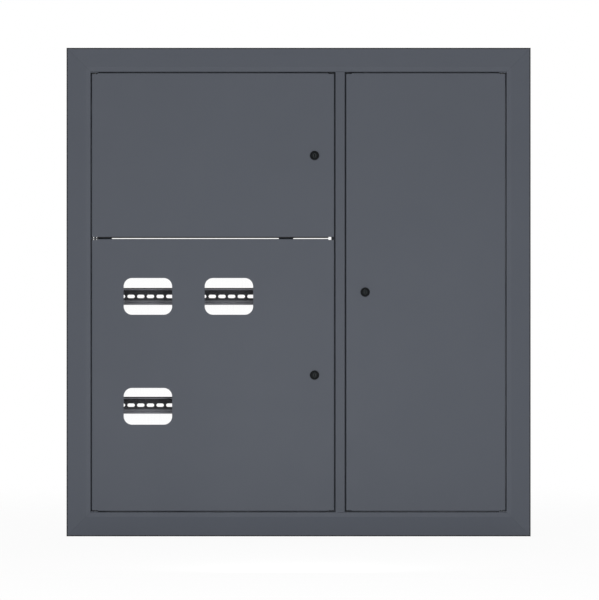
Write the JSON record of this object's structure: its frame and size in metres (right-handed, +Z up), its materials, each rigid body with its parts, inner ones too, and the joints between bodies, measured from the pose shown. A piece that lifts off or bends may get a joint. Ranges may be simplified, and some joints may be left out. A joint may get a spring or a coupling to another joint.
{
  "type": "floor distribution board",
  "caption": "Flush-mounted floor distribution board with a mitred steel surround, hinged locking doors, glazed meter windows and top-hat rails in an open-backed casing.",
  "frame": {"origin": "centre of the board on the plane of the wall, where the surround seats", "axes": "+X right seen from the front, +Y into the wall, +Z up"},
  "size_m": [0.95, 0.142, 1],
  "materials": {
    "door_paint": "fine matt powder coat",
    "casing_paint": "fine matt powder coat",
    "rail_paint": "satin paint",
    "zinc_steel": "zinc plated",
    "lock_black": "satin",
    "lock_plug": "satin black",
    "clear_pane": "clear polished"
  },
  "bodies": {
    "casing": {"casing_bottom_wall": "casing_paint", "casing_earth_nut": "zinc_steel", "casing_left_wall": "casing_paint", "casing_right_wall": "casing_paint", "casing_top_wall": "casing_paint", "hinge_pins": "zinc_steel", "hinge_plates": "casing_paint", "left_upright": "casing_paint", "low_current_strip_1": "zinc_steel", "low_current_strip_2": "zinc_steel", "low_current_strip_3": "zinc_steel", "meter_crossbar": "casing_paint", "meter_rail_1": "rail_paint", "meter_rail_2": "rail_paint", "meter_rail_3": "rail_paint", "middle_hinge_bracket": "casing_paint", "middle_upright": "casing_paint", "mullion": "door_paint", "partition_wall": "casing_paint", "rail_screws": "zinc_steel", "right_upright": "casing_paint", "surround": "door_paint", "upper_rail_1": "rail_paint", "upper_rail_2": "rail_paint"},
    "upper_door": {"upper_door_panel": "door_paint", "upper_door_hinge_eyes": "casing_paint", "upper_lock_housing": "lock_black", "upper_lock_nut": "zinc_steel"},
    "lower_door": {"lower_door_panel": "door_paint", "lower_door_hinge_eyes": "casing_paint", "lower_lock_housing": "lock_black", "lower_lock_nut": "zinc_steel", "lower_door_stiffener": "casing_paint", "window_pane_1": "clear_pane", "window_pane_2": "clear_pane", "window_pane_3": "clear_pane", "window_guides_1": "casing_paint", "window_guides_2": "casing_paint", "window_guides_3": "casing_paint"},
    "right_door": {"right_door_panel": "door_paint", "right_door_hinge_eyes": "casing_paint", "right_lock_housing": "lock_black", "right_lock_nut": "zinc_steel", "right_door_stiffener": "casing_paint"},
    "upper_lock": {"upper_lock_plug": "lock_plug", "upper_lock_cam": "zinc_steel", "upper_lock_cam_screw": "zinc_steel"},
    "lower_lock": {"lower_lock_plug": "lock_plug", "lower_lock_cam": "zinc_steel", "lower_lock_cam_screw": "zinc_steel"},
    "right_lock": {"right_lock_plug": "lock_plug", "right_lock_cam": "zinc_steel", "right_lock_cam_screw": "zinc_steel"}
  },
  "joints": [
    {"name": "upper_door_hinge", "type": "hinge", "parent": "casing", "child": "upper_door", "pos_m": [-0.416, -0.0065, 0.27], "axis": [0, 0, -1], "range_deg": [0, 110]},
    {"name": "lower_door_hinge", "type": "hinge", "parent": "casing", "child": "lower_door", "pos_m": [-0.416, -0.0065, -0.17], "axis": [0, 0, -1], "range_deg": [0, 110]},
    {"name": "right_door_hinge", "type": "hinge", "parent": "casing", "child": "right_door", "pos_m": [0.416, -0.0065, 0], "axis": [0, 0, 1], "range_deg": [0, 110]},
    {"name": "upper_lock_turn", "type": "hinge", "parent": "upper_door", "child": "upper_lock", "pos_m": [0.0327, -0.012, 0.27935], "axis": [0, -1, 0], "range_deg": [0, 90]},
    {"name": "lower_lock_turn", "type": "hinge", "parent": "lower_door", "child": "lower_lock", "pos_m": [0.0327, -0.012, -0.16965], "axis": [0, -1, 0], "range_deg": [0, 90]},
    {"name": "right_lock_turn", "type": "hinge", "parent": "right_door", "child": "right_lock", "pos_m": [0.1362, -0.012, 0], "axis": [0, 1, 0], "range_deg": [0, 90]}
  ]
}
